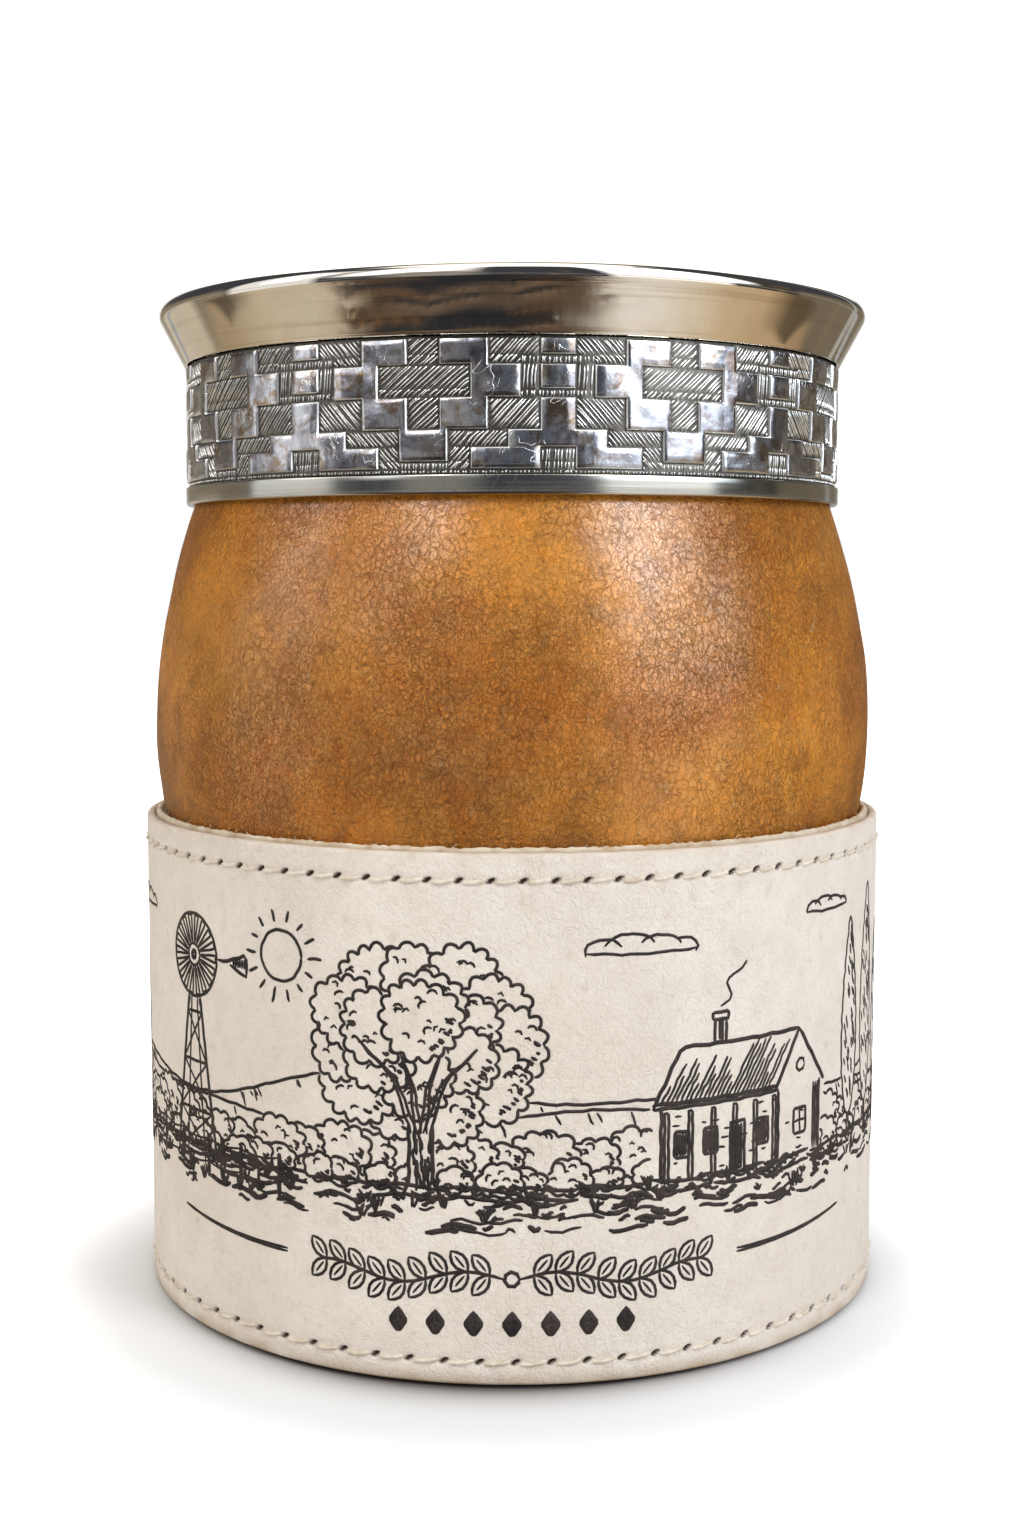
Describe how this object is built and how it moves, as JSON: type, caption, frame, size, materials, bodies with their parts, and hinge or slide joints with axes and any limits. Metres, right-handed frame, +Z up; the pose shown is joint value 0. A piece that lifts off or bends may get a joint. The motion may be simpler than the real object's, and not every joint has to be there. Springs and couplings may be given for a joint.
{
  "type": "leather-covered mate gourd",
  "caption": "Dried gourd cup in a tan leather cover, standing in a sewn rawhide cuff, with a chased metal band and flared lip round its open mouth.",
  "frame": {"origin": "centre of the outsole's underside, on the gourd's axis", "axes": "+Z up along the gourd's axis; -Y is the front, and the leather seams are at the back, +Y"},
  "size_m": [0.0856, 0.0856, 0.1093],
  "materials": {
    "rawhide": "cream undyed leather, fine fibrous grain, matt, with thin dark line drawing on it",
    "raw_edge": "cut leather edge, beige, fibrous, matt",
    "tan_leather": "mottled tan leather, wrinkled grain, semi-gloss",
    "cream_thread": "waxed two-ply cream thread",
    "sole_leather": "dark brown sole leather, matt",
    "board": "pressed leatherboard stiffener",
    "cork": "fine agglomerated cork",
    "dried_gourd": "dried gourd wall, fibrous and matt, darker inside",
    "nickel_silver": "polished nickel silver with fine turning marks",
    "chased_silver": "chased nickel silver, polished plates on a hatched dark oxidised ground",
    "steel_wire": "plain drawn wire",
    "cement": "dark setting cement"
  },
  "bodies": {
    "root": {"outsole": "sole_leather", "base_board": "board", "seat_pad": "cork", "cuff_outer": "rawhide", "cuff_lining": "raw_edge", "cuff_top_stitching": "cream_thread", "cuff_bottom_stitching": "cream_thread", "cuff_seam_thread": "cream_thread", "body_cover": "tan_leather", "cover_base_disc": "tan_leather", "cover_seam_thread": "cream_thread", "cover_base_thread": "cream_thread", "gourd_shell": "dried_gourd", "trim_ring": "nickel_silver", "patterned_band": "chased_silver", "lip_flare": "nickel_silver", "rim_wire": "steel_wire", "inner_funnel": "nickel_silver", "setting_cement": "cement"}
  },
  "joints": []
}
